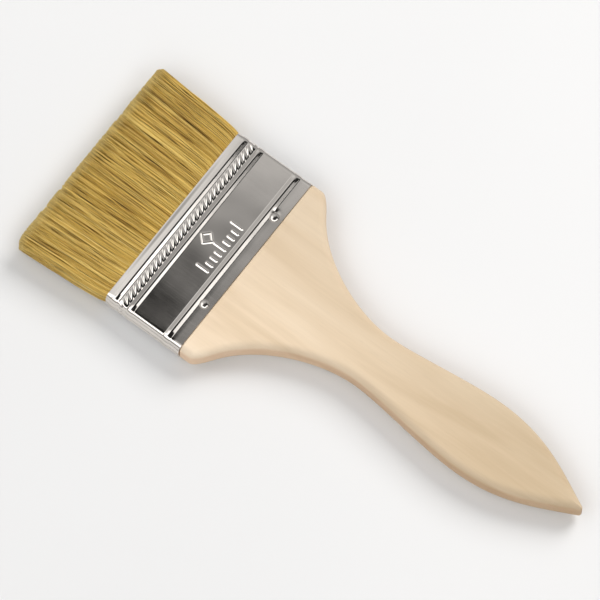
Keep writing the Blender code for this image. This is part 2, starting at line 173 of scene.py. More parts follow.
def grid_faces(rows, columns, closed=False, flip=False):
    """Quads of a grid of points stored row by row. A closed grid joins its last column to its first."""
    across = columns if closed else columns - 1
    r = np.arange(rows - 1)[:, None]
    c = np.arange(across)[None, :]
    following = (c + 1) % columns
    this_row, next_row = r * columns, (r + 1) * columns
    corners = [this_row + c, this_row + following, next_row + following, next_row + c]
    quads = np.stack([np.broadcast_to(k, (rows - 1, across)) for k in corners], -1).reshape(-1, 4)
    if flip:
        quads = quads[:, ::-1]
    return quads.tolist()


def smoothstep(low, high, value):
    t = np.clip((value - low) / (high - low), 0.0, 1.0)
    return t * t * (3 - 2 * t)


WAVES = 24


def wander(points, rng, size):
    """A smooth random field, about -1 to 1, whose features are about size metres across."""
    total = np.zeros(points.shape[:-1])
    for _ in range(WAVES):
        turn = rng.normal(size=points.shape[-1])
        turn *= 2 * math.pi / size / np.linalg.norm(turn) * rng.uniform(0.5, 1.3)
        total += np.sin(points @ turn + rng.uniform(0, 2 * math.pi))
    return total / math.sqrt(WAVES / 2) / 1.6


# ---------------------------------------------------------------- material helpers


class Look:
    """A material's node tree, with short calls for the nodes used here."""

    def __init__(self, name):
        self.material = bpy.data.materials.new(name)
        self.material.use_nodes = True
        self.tree = self.material.node_tree
        self.shader = self.tree.nodes["Principled BSDF"]

    def add(self, kind, **settings):
        made = self.tree.nodes.new(kind)
        for key, value in settings.items():
            setattr(made, key, value)
        return made

    def link(self, source, target):
        self.tree.links.new(source, target)

    def put(self, socket, value):
        if isinstance(value, bpy.types.NodeSocket):
            self.link(value, socket)
        else:
            socket.default_value = value

    def coords(self, scale=(1.0, 1.0, 1.0)):
        """The brush's own coordinates in metres, stretched by scale."""
        source = self.add("ShaderNodeTexCoord")
        stretch = self.add("ShaderNodeMapping")
        stretch.inputs["Scale"].default_value = scale
        self.link(source.outputs["Object"], stretch.inputs["Vector"])
        return stretch.outputs["Vector"]

    def noise(self, vector, scale=1.0, detail=3.0, roughness=0.5, distortion=0.0):
        made = self.add("ShaderNodeTexNoise")
        self.link(vector, made.inputs["Vector"])
        made.inputs["Scale"].default_value = scale
        made.inputs["Detail"].default_value = detail
        made.inputs["Roughness"].default_value = roughness
        made.inputs["Distortion"].default_value = distortion
        return made.outputs["Fac"]

    def ramp(self, value, stops):
        """A colour ramp; stops are (position, colour) or (position, number)."""
        made = self.add("ShaderNodeValToRGB")
        points = made.color_ramp.elements
        while len(points) < len(stops):
            points.new(0.5)
        for point, (place, colour) in zip(points, stops):
            point.position = place
            point.color = colour if isinstance(colour, tuple) else (colour, colour, colour, 1.0)
        self.link(value, made.inputs["Fac"])
        return made.outputs["Color"]

    def span(self, value, low, high, to_low=0.0, to_high=1.0):
        made = self.add("ShaderNodeMapRange", interpolation_type="SMOOTHSTEP")
        self.link(value, made.inputs["Value"])
        for key, number in (("From Min", low), ("From Max", high), ("To Min", to_low), ("To Max", to_high)):
            made.inputs[key].default_value = number
        return made.outputs["Result"]

    def math(self, operation, a, b):
        made = self.add("ShaderNodeMath", operation=operation)
        self.put(made.inputs[0], a)
        self.put(made.inputs[1], b)
        return made.outputs["Value"]

    def mix(self, factor, a, b, blend="MIX"):
        made = self.add("ShaderNodeMix", data_type="RGBA", blend_type=blend)
        sockets = {s.identifier: s for s in made.inputs}
        self.put(sockets["Factor_Float"], factor)
        self.put(sockets["A_Color"], a)
        self.put(sockets["B_Color"], b)
        return next(s for s in made.outputs if s.identifier == "Result_Color")

    def axis(self, name):
        """One coordinate of the brush's frame, in metres."""
        split = self.add("ShaderNodeSeparateXYZ")
        self.link(self.coords(), split.inputs["Vector"])
        return split.outputs[name]

    def bump(self, height, strength, distance):
        made = self.add("ShaderNodeBump")
        made.inputs["Strength"].default_value = strength
        made.inputs["Distance"].default_value = distance
        self.link(height, made.inputs["Height"])
        self.link(made.outputs["Normal"], self.shader.inputs["Normal"])


def colour(r, g, b):
    """Linear colour of an sRGB one given from 0 to 255, with alpha."""

    def linear(v):
        v /= 255
        return v / 12.92 if v <= 0.04045 else ((v + 0.055) / 1.055) ** 2.4

    return (linear(r), linear(g), linear(b), 1.0)


# ---------------------------------------------------------------- materials


def wood_look():
    """Pale sanded hardwood: broad soft streaks, fine fibres and short pores along the handle, with painted
    shade towards the tip, towards the right-hand side and on the side walls.
    """
    look = Look("pale_wood")
    broad = look.noise(look.coords((70.0, 7.0, 70.0)), detail=4.0, roughness=0.55, distortion=0.4)
    tone = look.ramp(
        broad,
        [
            (0.30, colour(224, 201, 170)),
            (0.47, colour(238, 217, 189)),
            (0.62, colour(245, 226, 200)),
        ],
    )
    fibres = look.noise(look.coords((1400.0, 32.0, 1400.0)), detail=3.0, roughness=0.6)
    fibre_tone = look.ramp(fibres, [(0.30, 0.965), (0.65, 1.0)])
    tone = look.mix(1.0, tone, fibre_tone, "MULTIPLY")
    pores = look.noise(look.coords((2600.0, 150.0, 2600.0)), detail=2.0)
    pore_tone = look.ramp(pores, [(0.66, 1.0), (0.74, 0.94)])
    tone = look.mix(1.0, tone, pore_tone, "MULTIPLY")
    # Painted shade: the wood is coloured darker towards the tip of the handle, standing in for light falling
    # off along it.
    along = look.span(look.axis("Y"), TIP_Y, HEEL_Y, 0.0, 1.0)
    painted_falloff = look.mix(along, colour(226, 222, 213), colour(250, 249, 248))
    tone = look.mix(1.0, tone, painted_falloff, "MULTIPLY")
    # Painted shade: the wood is coloured darker towards the right-hand side.
    across = look.span(look.axis("X"), -0.03, 0.035, 0.0, 1.0)
    tone = look.mix(1.0, tone, look.mix(across, colour(255, 255, 255), colour(230, 228, 224)), "MULTIPLY")
    # Painted shade: the side walls and rolled edges are coloured pinker and darker than the faces.
    off_middle = look.math("ABSOLUTE", look.math("SUBTRACT", look.axis("Z"), MID_Z), 0.0)
    painted_wall_shade = look.span(off_middle, HEEL_HALF - 2.9 * MM, HEEL_HALF - 1.1 * MM, 0.0, 1.0)
    tone = look.mix(1.0, tone, look.mix(painted_wall_shade, colour(245, 232, 223), colour(255, 255, 255)), "MULTIPLY")
    look.put(look.shader.inputs["Base Color"], tone)
    look.put(look.shader.inputs["Roughness"], look.span(fibres, 0.2, 0.8, 0.62, 0.5))
    look.shader.inputs["Specular IOR Level"].default_value = 0.35
    look.bump(fibres, 0.25, 0.00005)
    return look.material


def steel_look(name, tint, dull):
    """Bright tinned sheet: faint rolling marks along Y, light smears and fine scratches."""
    look = Look(name)
    smear = look.noise(look.coords((90.0, 60.0, 90.0)), detail=3.0, roughness=0.6)
    rolled = look.noise(look.coords((3200.0, 60.0, 3200.0)), detail=2.0)
    darker = (*(c * 0.92 for c in tint[:3]), 1.0)
    look.put(look.shader.inputs["Base Color"], look.mix(smear, darker, tint))
    rough = look.span(smear, 0.3, 0.75, dull * 0.75, dull * 1.35)
    look.put(look.shader.inputs["Roughness"], look.math("ADD", rough, look.span(rolled, 0.3, 0.9, 0.0, 0.04)))
    look.shader.inputs["Metallic"].default_value = 1.0
    look.bump(rolled, 0.05, 0.00001)
    return look.material


def bristle_look():
    """Straw bristle: each hair has its own tone, hairs deeper in are darker as painted shade, some hairs have
    dark stretches as painted shadows of the gaps between clumps, and tips are paler.
    """
    look = Look("bristle")
    # The tone attribute holds each hair's own tone with painted shade and painted gap shadows in it.
    tone = look.add("ShaderNodeAttribute", attribute_name="tone").outputs["Fac"]
    straw = look.ramp(
        tone,
        [
            (0.00, colour(92, 62, 22)),
            (0.22, colour(150, 110, 44)),
            (0.45, colour(208, 171, 82)),
            (0.70, colour(240, 208, 118)),
            (1.00, colour(250, 228, 150)),
        ],
    )
    speckle = look.noise(look.coords((1500.0, 180.0, 1500.0)), detail=2.0)
    straw = look.mix(1.0, straw, look.ramp(speckle, [(0.3, 0.88), (0.7, 1.0)]), "MULTIPLY")
    tip = look.span(look.axis("Y"), MOUTH_Y + 0.88 * BRISTLE_OUT, MOUTH_Y + BRISTLE_OUT, 0.0, 0.65)
    straw = look.mix(tip, straw, colour(250, 228, 156))
    look.put(look.shader.inputs["Base Color"], straw)
    look.shader.inputs["Roughness"].default_value = 0.45
    look.shader.inputs["Specular IOR Level"].default_value = 0.35
    return look.material


def bristle_core_look():
    """The mass of hair under the outer layers, coloured dark brown as painted shade."""
    look = Look("bristle_core_painted_shade")
    strands = look.noise(look.coords((2200.0, 30.0, 2200.0)), detail=3.0)
    # Painted shade: the core is coloured dark brown for the shade under the outer hairs.
    tone = look.ramp(strands, [(0.35, colour(70, 46, 18)), (0.65, colour(132, 98, 48))])
    look.put(look.shader.inputs["Base Color"], tone)
    look.shader.inputs["Roughness"].default_value = 0.8
    look.bump(strands, 0.6, 0.0002)
    return look.material


def spacer_look():
    look = Look("spacer_wood")
    grain = look.noise(look.coords((60.0, 900.0, 900.0)), detail=4.0)
    tone = look.ramp(grain, [(0.35, colour(176, 142, 98)), (0.65, colour(206, 174, 128))])
    look.put(look.shader.inputs["Base Color"], tone)
    look.shader.inputs["Roughness"].default_value = 0.75
    look.bump(grain, 0.5, 0.0001)
    return look.material


def resin_look():
    look = Look("resin")
    cloud = look.noise(look.coords((300.0, 300.0, 300.0)), detail=3.0)
    tone = look.ramp(cloud, [(0.35, colour(110, 78, 36)), (0.65, colour(150, 112, 60))])
    look.put(look.shader.inputs["Base Color"], tone)
    look.shader.inputs["Roughness"].default_value = 0.3
    look.bump(cloud, 0.3, 0.0002)
    return look.material


def floor_look():
    look = Look("floor")
    cloud = look.noise(look.coords((3.0, 3.0, 3.0)), detail=2.0)
    tone = look.ramp(cloud, [(0.3, colour(226, 226, 226)), (0.7, colour(230, 230, 230))])
    look.put(look.shader.inputs["Base Color"], tone)
    look.shader.inputs["Roughness"].default_value = 0.9
    look.shader.inputs["Specular IOR Level"].default_value = 0.1
    return look.material


# ---------------------------------------------------------------- handle


def bezier(points, steps):
    p0, p1, p2, p3 = (np.array(p) for p in points)
    t = np.linspace(0.0, 1.0, steps, endpoint=False)[:, None]
    return (1 - t) ** 3 * p0 + 3 * (1 - t) ** 2 * t * p1 + 3 * (1 - t) * t * t * p2 + t**3 * p3


def handle_half_outline():
    """The right-hand edge of the board from the heel to the rounded tip, as points (half width, y)."""
    turn = np.array((SHOULDER_TURN[0], HEEL_Y - SHOULDER_TURN[1]))
    lean = np.array((math.sin(SHOULDER_SLOPE), math.cos(SHOULDER_SLOPE)))
    shoulder = np.array((HALF_WIDTH, HEEL_Y - SHOULDER_LENGTH))
    neck = np.array((NECK[0], HEEL_Y - NECK[1]))
    swell = np.array((SWELL[0], HEEL_Y - SWELL[1]))
    down = np.array((0.0, -1.0))
    rise = np.array((math.sin(TIP_HALF_ANGLE), math.cos(TIP_HALF_ANGLE)))
    centre = np.array((0.0, TIP_Y + TIP_RADIUS))
    end = centre + TIP_RADIUS * np.array((math.cos(TIP_HALF_ANGLE), -math.sin(TIP_HALF_ANGLE)))
    straight = np.linspace((HALF_WIDTH, HEEL_Y), shoulder, 4, endpoint=False)
    turn_back, turn_ahead = TURN_REACH
    neck_back, neck_ahead = NECK_REACH
    swell_back, swell_ahead = SWELL_REACH
    parts = [
        straight,
        bezier((shoulder, shoulder + down * SHOULDER_REACH, turn + lean * turn_back, turn), 24),
        bezier((turn, turn - lean * turn_ahead, neck - down * neck_back, neck), 60),
        bezier((neck, neck + down * neck_ahead, swell - down * swell_back, swell), 40),
        bezier((swell, swell + down * swell_ahead, end + rise * TIP_REACH, end), 50),
    ]
    turns = np.linspace(-TIP_HALF_ANGLE, -math.pi / 2, 7)
    arc = centre + TIP_RADIUS * np.stack([np.cos(turns), np.sin(turns)], -1)
    return np.concatenate([*parts, arc])


def inset_outline(line, distance, last_even):
    """The half outline moved inwards by a distance, without the loops that this makes at tight corners.

    Rows past last_even are spaced out again, because the inset line meets the middle before the tip."""
    step = np.gradient(line, axis=0)
    step /= np.linalg.norm(step, axis=1)[:, None]
    moved = line + np.stack([step[:, 1], -step[:, 0]], -1) * distance
    moved[0, 1] = line[0, 1]
    clearance = np.linalg.norm(moved[:, None] - line[None], axis=2).min(1)
    clearance[0] = distance
    index = np.arange(len(line))
    good = (clearance > 0.985 * distance) & (moved[:, 0] > 0)
    good[-1] = False
    x, y = moved[good].T
    share = x[-1] / (x[-2] - x[-1])
    crossing = min(share, 1.5)
    x = np.append(x, 0.0)
    y = np.append(y, y[-1] + (y[-1] - y[-2]) * crossing)
    known = np.append(index[good], index[good][-1] + 1)
    length = np.concatenate([[0], np.cumsum(np.hypot(np.diff(x), np.diff(y)))])
    start = np.interp(last_even, known, length)
    before = np.concatenate([[0], np.cumsum(np.linalg.norm(np.diff(line[last_even:], axis=0), axis=1))])
    places = np.interp(index, known, length)
    places[last_even:] = start + (length[-1] - start) * before / before[-1]
    return np.stack([np.interp(places, length, x), np.interp(places, length, y)], -1)


def make_handle(look):
    """Board with rolled edges and slightly uneven sanded faces."""
    rng = np.random.default_rng(SEED)
    outline = handle_half_outline()
    swell_row = int(np.argmin(np.abs(outline[:, 1] - (HEEL_Y - SWELL[1]))))
    columns = []  # one column of points per step round the board's section, from right edge over the top
    for i in range(EDGE_STEPS + 1):
        angle = math.pi / 2 * i / EDGE_STEPS
        inset = EDGE_RADIUS * (1 - math.cos(angle))
        ring = inset_outline(outline, inset, swell_row) if i else outline
        height = HEEL_HALF - EDGE_RADIUS * (1 - math.sin(angle))
        columns.append(np.column_stack([ring, np.full(len(outline), height)]))
    edge = columns[-1]
    for i in range(1, FACE_STEPS):
        share = 1 - 2 * i / FACE_STEPS
        columns.append(edge * np.array((share, 1.0, 1.0)))
    columns += [column * np.array((-1.0, 1.0, 1.0)) for column in reversed(columns[: EDGE_STEPS + 1])]
    top = np.stack(columns, 1)
    bottom = top[:, ::-1] * np.array((1.0, 1.0, -1.0))
    skin = np.concatenate([top, bottom], 1)
    uneven = wander(skin, rng, 45 * MM) * 0.05 * MM + wander(skin, rng, 12 * MM) * 0.012 * MM
    away = smoothstep(0.0, 6 * MM, HEEL_Y - skin[..., 1])
    faces_up_or_down = np.abs(skin[..., 2]) > HEEL_HALF - EDGE_RADIUS
    skin[..., 2] += uneven * away * np.sign(skin[..., 2]) * faces_up_or_down
    skin[..., 2] += MID_Z
    rows, ring_size = skin.shape[:2]
    verts = skin.reshape(-1, 3)
    faces = grid_faces(rows, ring_size, closed=True)
    rim = skin[0].copy()
    rim[:, 0] *= 1 - HEEL_EDGE / HALF_WIDTH
    rim[:, 2] = MID_Z + (rim[:, 2] - MID_Z) * (1 - HEEL_EDGE / HEEL_HALF)
    verts[:ring_size, 1] = HEEL_Y - 0.45 * MM
    rim[:, 1] = HEEL_Y - 0.18 * MM
    start = len(verts)
    verts = np.concatenate([verts, rim])
    for i in range(ring_size):
        following = (i + 1) % ring_size
        faces.append([following, i, start + i, start + following])
    faces.append(list(range(start, start + ring_size)))
    faces.append([(rows - 1) * ring_size + i for i in reversed(range(ring_size))])
    return mesh_object("handle_board", verts, faces, look, sharp=50)


def make_tenon(look):
    """The reduced end of the board that the ferrule is nailed to."""
    half_x = HALF_WIDTH - SHEET - TENON_CLEARANCE
    half_z = MOUTH_HALF - SHEET + 0.1 * MM
    bpy.ops.mesh.primitive_cube_add(size=1.0)
    tenon = bpy.context.object
    tenon.name = "handle_tenon"
    start_y, end_y = HEEL_Y - TENON_OVERLAP, HANDLE_HIGH.y
    tenon.data.transform(
        Matrix.Translation((0.0, (start_y + end_y) / 2, MID_Z))
        @ Matrix.Diagonal((2 * half_x, end_y - start_y, 2 * half_z, 1.0))
    )
    bevel = tenon.modifiers.new("edges", "BEVEL")
    bevel.width = 1.2 * MM
    bevel.segments = 3
    tenon.data.materials.append(look)
    return tenon


# ---------------------------------------------------------------- ferrule


def half_thickness(distance):
    """Half the ferrule's thickness at a distance from the mouth."""
    return MOUTH_HALF + (HEEL_HALF - MOUTH_HALF) * distance / FERRULE_LENGTH


def ferrule_ring(distance):
    """Outside of the plain sheet at a distance from the mouth: points, normals, and how far round each is.

    How far round is counted along the surface from the middle of the front face, to the right."""
    half = half_thickness(distance)
    flat_x = HALF_WIDTH - CORNER_RADIUS
    flat_z = half - CORNER_RADIUS
    quarter = math.pi / 2 * CORNER_RADIUS
    xs = np.linspace(-flat_x, flat_x, WIDE_POINTS)
    zs = np.linspace(-flat_z, flat_z, NARROW_POINTS)
    turns = np.linspace(0, math.pi / 2, CORNER_POINTS)[1:-1]
    points, normals, around = [], [], []

    def put(x, z, nx, nz, s):
        points.append(np.stack([x, z], -1))
        normals.append(np.stack([nx, nz], -1))
        around.append(s)

    def corner(side, face, angles, start, sense):
        cx, cz = side * flat_x, face * flat_z
        nx, nz = np.cos(angles), np.sin(angles)
        put(cx + CORNER_RADIUS * nx, cz + CORNER_RADIUS * nz, nx, nz, start + sense * CORNER_RADIUS * turns)

    side_mid = flat_x + quarter
    one, zero = np.ones, np.zeros
    put(xs, one(len(xs)) * half, zero(len(xs)), one(len(xs)), xs)
    corner(1, 1, math.pi / 2 - turns, flat_x, 1)
    put(one(len(zs)) * HALF_WIDTH, zs[::-1], one(len(zs)), zero(len(zs)), side_mid + flat_z - zs[::-1])
    corner(1, -1, -turns, side_mid + 2 * flat_z, 1)
    back = side_mid + 2 * flat_z + quarter + flat_x
    put(xs[::-1], -one(len(xs)) * half, zero(len(xs)), -one(len(xs)), back - xs[::-1])
    corner(-1, -1, -math.pi / 2 - turns, back + flat_x, 1)
    put(-one(len(zs)) * HALF_WIDTH, zs, -one(len(zs)), zero(len(zs)), -(side_mid + flat_z) + zs)
    corner(-1, 1, math.pi - turns, -side_mid, 1)
    return np.concatenate(points), np.concatenate(normals), np.concatenate(around)


def pressed_section():
    """The beads pressed into the sheet: distances from the mouth and heights, zero at the heel."""
    places, slopes = np.array(SLOPES).T
    distances = np.linspace(0.0, FERRULE_LENGTH, 3000)
    rise = np.tan(np.radians(np.interp(distances / MM, places, slopes)))
    heights = np.concatenate([[0.0], np.cumsum((rise[1:] + rise[:-1]) / 2 * np.diff(distances))])
    return distances, heights - heights[-1]


PRESSED = pressed_section()


def panel_bow(x, distance):
    """How far the wide faces bow out, less towards the ends."""
    heel_share = np.clip((FERRULE_LENGTH - distance) / (20 * MM), 0, 1)
    share = smoothstep(0.0, MOUTH_BAND, distance) * (0.35 + 0.65 * heel_share)
    return PANEL_BOW * (1 - (x / HALF_WIDTH) ** 2) * share


def ferrule_height(points, around, distance):
    """How far the sheet stands out from its plain surface: beads, rope band, lap seam and handling marks."""
    x, z = points[:, 0], points[:, 1]
    edge = smoothstep(HALF_WIDTH - 4.0 * MM, HALF_WIDTH - 1.2 * MM, np.abs(x))
    strength = 1 - 0.85 * edge
    raised = float(np.interp(distance, *PRESSED))
    height = raised * (strength if raised > 0 else np.ones(len(x)))
    offset = (distance - ROPE_MIDDLE) / ROPE_HALF
    if abs(offset) < 1:
        roundness = 1 - offset * offset
        phase = (around + ROPE_LEAN * math.asin(offset)) / ROPE_PITCH
        strand = np.abs(np.sin(math.pi * phase)) ** 0.9
        height += ROPE_HEIGHT * (1 - 0.5 * edge) * roundness * strand
    left_side = (x < -HALF_WIDTH + 0.2 * MM) & (np.abs(z) < half_thickness(distance) - CORNER_RADIUS)
    seam = smoothstep(SEAM_HALF + 0.25 * MM, SEAM_HALF - 0.1 * MM, np.abs(z))
    height += SEAM_HEIGHT * seam * left_side
    for line in FOLD_LINES:
        height += FOLD_HEIGHT * np.exp(-(((z - line) / (0.32 * MM)) ** 2)) * left_side
    flat = np.abs(np.abs(z) - half_thickness(distance)) < 1e-7
    height += flat * panel_bow(x, distance)
    dent = np.exp(-(((x - DENT[0]) ** 2 + (distance - DENT[1]) ** 2) / DENT_SIZE**2))
    return height - (z > 0) * DENT_DEPTH * dent


def ferrule_stations():
    """Distances from the mouth where the ferrule has a ring of points, closer where it curves."""
    stops = [0.0, 0.1 * MM, 0.35 * MM]
    stops += list(np.linspace(0.6 * MM, MOUTH_BAND, 6))
    for start, end in BEADS:
        stops += list(np.linspace(start, end, 33))
    stops += list(np.linspace(ROPE_MIDDLE - ROPE_HALF, ROPE_MIDDLE + ROPE_HALF, 21))
    stops += list(np.linspace(BEADS[1][1], BEADS[2][0], 16))
    stops += list(np.linspace(BEADS[2][1], FERRULE_LENGTH - 0.3 * MM, 9))
    stops += [FERRULE_LENGTH - 0.1 * MM, FERRULE_LENGTH]
    stops = sorted(stops)
    kept = [stops[0]]
    for stop in stops[1:]:
        if stop - kept[-1] > 0.02 * MM:
            kept.append(stop)
    return kept


def ferrule_skins():
    """Rings of points of the outside and of the plainer inside."""
    rng = np.random.default_rng(SEED + 1)
    outside = []
    for distance in ferrule_stations():
        points, normals, around = ferrule_ring(distance)
        rise = ferrule_height(points, around, distance)
        placed = points + normals * rise[:, None]
        y = np.full(len(placed), MOUTH_Y - distance)
        outside.append(np.stack([placed[:, 0], y, placed[:, 1]], -1))
    outside = np.stack(outside)
    waves = wander(outside, rng, 30 * MM) * 0.02 * MM + wander(outside, rng, 14 * MM) * 0.012 * MM
    away = np.sign(outside[..., 2]) * (np.abs(outside[..., 2]) > MOUTH_HALF - 0.6 * MM)
    outside[..., 2] += waves * away
    inside = []
    for distance in (FERRULE_LENGTH, 20 * MM, 8 * MM, MOUTH_BAND, 0.9 * MM, 0.0):
        points, normals, _ = ferrule_ring(distance)
        placed = points - normals * (SHEET - min(0.0, float(np.interp(distance, *PRESSED))))
        y = np.full(len(placed), MOUTH_Y - distance)
        inside.append(np.stack([placed[:, 0], y, placed[:, 1]], -1))
    return outside, np.stack(inside)


def stroke(start, end):
    """A raised rounded stroke on the front panel between two points (x, distance from the mouth)."""
    start, end = np.array(start), np.array(end)
    reach = MARK_WIDTH / 2
    low = np.minimum(start, end) - reach
    high = np.maximum(start, end) + reach
    cells = np.maximum(8, np.ceil((high - low) / (0.09 * MM))).astype(int)
    xs, vs = np.meshgrid(np.linspace(low[0], high[0], cells[0]), np.linspace(low[1], high[1], cells[1]))
    spot = np.stack([xs, vs], -1)
    along = end - start
    share = np.clip(((spot - start) @ along) / max(along @ along, 1e-12), 0, 1)
    away = np.linalg.norm(spot - start - share[..., None] * along, axis=-1) / reach
    rise = MARK_HEIGHT * (1 - np.sqrt(away**2 + 0.03)) - 0.03 * MM
    surface = half_thickness(vs) + panel_bow(xs, vs) + float(np.interp(0.6 * FERRULE_LENGTH, *PRESSED))
    verts = np.stack([xs, MOUTH_Y - vs, MID_Z + surface + rise], -1)
    return verts.reshape(-1, 3), grid_faces(cells[1], cells[0])


def mark_strokes():
    """A plain ruler scale and a diamond."""
    strokes = []
    for i in range(TICKS):
        x = TICK_SPACING * (i - (TICKS - 1) / 2)
        length = LONG_TICK if i % 4 == 0 else SHORT_TICK
        strokes.append(((x, TICK_BASE), (x, TICK_BASE - length)))
    corners = [(0.0, -DIAMOND_HALF), (DIAMOND_HALF, 0.0), (0.0, DIAMOND_HALF), (-DIAMOND_HALF, 0.0)]
    corners = [(x, DIAMOND_MIDDLE + v) for x, v in corners]
    strokes += list(zip(corners, corners[1:] + corners[:1]))
    return strokes


def make_ferrule(look):
    outside, inside = ferrule_skins()
    for skin in (outside, inside):
        skin[..., 2] += MID_Z
    columns = outside.shape[1]
    skins = np.concatenate([outside, inside])
    verts = [skins.reshape(-1, 3)]
    faces = grid_faces(len(skins), columns, closed=True)
    last = (len(skins) - 1) * columns
    faces += [[last + i, last + (i + 1) % columns, (i + 1) % columns, i] for i in range(columns)]
    start = len(verts[0])
    for begin, end in mark_strokes():
        points, quads = stroke(begin, end)
        verts.append(points)
        faces += [[start + i for i in quad] for quad in quads]
        start += len(points)
    return mesh_object("ferrule_sheet", np.concatenate(verts), faces, look, sharp=70)


# ---------------------------------------------------------------- nails


def make_nail(node, look):
    """A domed nail in place of a CAD one, its head pressed down onto the sheet."""
    low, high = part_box(node)
    centre = (low + high) / 2
    facing = 1 if centre.z > MID_Z else -1
    seat = half_thickness(FERRULE_LENGTH - NAIL_FROM_HEEL) + 0.02 * MM
    angles = np.linspace(math.pi / 2, 0, NAIL_DOME_POINTS)
    profile = [(NAIL_HEAD_RADIUS * math.cos(a), NAIL_HEAD_HEIGHT * math.sin(a) ** 1.1) for a in angles]
    profile += [(NAIL_SHANK_RADIUS, -0.05 * MM), (NAIL_SHANK_RADIUS, -NAIL_SHANK_LENGTH + MM)]
    profile += [(0.05 * MM, -NAIL_SHANK_LENGTH)]
    profile[0] = (0.02 * MM, NAIL_HEAD_HEIGHT)
    turns = np.linspace(0, 2 * math.pi, NAIL_SIDES, endpoint=False)
    across, along = np.cos(turns), np.sin(turns)
    rings = [np.stack([r * across, r * along, np.full(NAIL_SIDES, h)], -1) for r, h in profile]
    verts = np.concatenate(rings)
    faces = grid_faces(len(rings), NAIL_SIDES, closed=True, flip=True)
    faces.append(list(range(NAIL_SIDES)))
    faces.append([len(verts) - 1 - i for i in range(NAIL_SIDES)])
    verts = verts * np.array((1.0, facing, facing))
    verts += np.array((centre.x, centre.y, MID_Z + facing * seat))
    nail = mesh_object(node + "_head", verts, faces, look, sharp=60)
    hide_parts(node)
    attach(nail, "brush")


# ---------------------------------------------------------------- bristles

HAIR_RADIUS = 0.12 * MM
ROOT_DEPTH = 1.6 * MM
MOUTH_HALF_X = HALF_WIDTH - SHEET - HAIR_RADIUS
MOUTH_HALF_Z = MOUTH_HALF - SHEET - HAIR_RADIUS - 0.2 * MM
TIP_HALF_X = TIPS_HIGH.x - HAIR_RADIUS - 0.15 * MM
TIP_HALF_Z = (TIPS_HIGH.z - MID_Z) - HAIR_RADIUS - 0.1 * MM
PACK_CORNER = 1.6 * MM
# Hairs are drawn round the whole pack, and each row keeps the half that faces its way
OUTER_HAIRS = 7800
OUTER_DEPTH = (0.0, 1.2 * MM)
INNER_HAIRS = 12000
INNER_DEPTH = (1.1 * MM, MOUTH_HALF_Z)
INNER_START = 0.72  # the share of the free length where the short inner hairs begin
# Shares of the free length where a whole hair has a ring of points
HAIR_STOPS = (0.0, 0.03, 0.07, 0.14, 0.24, 0.34, 0.44, 0.54, 0.64, 0.74, 0.83, 0.92, 1.0)
# How much shorter the hairs are at the left and right corners of the tips, and on the faces
CORNER_SHORT = (0.9 * MM, 1.4 * MM)
FACE_SHORT = 0.2 * MM
STRAY_SHARE = 0.06
# Tones from 0, dark, to 1, pale
HAIR_TONE = 0.53
HAIR_TONE_SPREAD = 0.17
# Painted shade: hairs deeper under the skin are coloured darker along the middle of their length.
PAINTED_DEPTH_SHADE = 0.5
# Painted shadow: a share of the hairs get a dark stretch that stands in for shadows in the gaps between
# clumps.
PAINTED_GAP_SHADOW = 0.75
PAINTED_GAP_SHADOW_SHARE = 0.24
CORE_INSET = 0.75 * MM
CORE_REACH = 0.80  # share of the free length
CORE_STATIONS = 14
CORE_POINTS = 90


def rounded_spot(u, depth, half_x, half_z):
    """A place in the pack's rounded section. u runs round it from 0 to 1, depth goes in from the skin."""
    flat_x, flat_z, quarter = half_x - PACK_CORNER, half_z - PACK_CORNER, PACK_CORNER * math.pi / 2
    lengths = [2 * flat_x, quarter, 2 * flat_z, quarter] * 2
    total = sum(lengths)
    s = (u % 1.0) * total
    x, z = np.zeros_like(s), np.zeros_like(s)
    inner = PACK_CORNER - depth
    begin = 0.0
    for part, length in enumerate(lengths):
        here = (s >= begin) & (s < begin + length)
        t = (s[here] - begin) / length
        k = part // 4  # 0 on the way along the front and down the right, 1 along the back and up the left
        sign = 1 - 2 * k
        d = depth[here]
        kind = part % 4
        if kind == 0:
            x[here], z[here] = sign * (-flat_x + 2 * flat_x * t), sign * (half_z - d)
        elif kind == 2:
            x[here], z[here] = sign * (half_x - d), sign * (flat_z - 2 * flat_z * t)
        else:
            turn = math.pi / 2 * (1 - t) if kind == 1 else -math.pi / 2 * t
            low = 1 if kind == 1 else -1
            x[here] = sign * (flat_x + inner[here] * np.cos(turn))
            z[here] = sign * (low * flat_z + inner[here] * np.sin(turn))
        begin += length
    return x, z


def tubes(name, paths, radii, twist, tones_and_painted_shade, look):
    """Thin closed three-sided tubes along paths of shape (hairs, steps, 3). Each ring is coloured by its
    tone, the hair's own tone with painted shade and painted gap shadows in it.
    """
    hairs, steps = paths.shape[:2]
    corner = twist[:, None, None] + np.arange(3)[None, None, :] * 2 * math.pi / 3
    out = np.stack([np.cos(corner), np.zeros_like(corner), np.sin(corner)], -1)
    rings = paths[:, :, None, :] + radii[:, :, None, None] * out
    base = (np.arange(hairs) * steps * 3)[:, None, None]
    step = np.arange(steps - 1)[None, :, None] * 3
    side = np.arange(3)[None, None, :]
    following = (side + 1) % 3
    corners = [side, side + 3, following + 3, following]
    quads = np.stack([base + step + corner for corner in corners], -1)
    faces = quads.reshape(-1, 4).tolist()
    first = (np.arange(hairs) * steps * 3)[:, None]
    faces += (first + np.array([0, 1, 2])).tolist()
    faces += (first + (steps - 1) * 3 + np.array([2, 1, 0])).tolist()
    obj = mesh_object(name, rings.reshape(-1, 3), faces, look)
    # The tone attribute carries painted shade and painted gap shadows along with each hair's own tone.
    tone = obj.data.attributes.new("tone", "FLOAT", "POINT")
    tone.data.foreach_set("value", np.repeat(tones_and_painted_shade.reshape(-1), 3).astype(np.float32))
    return obj


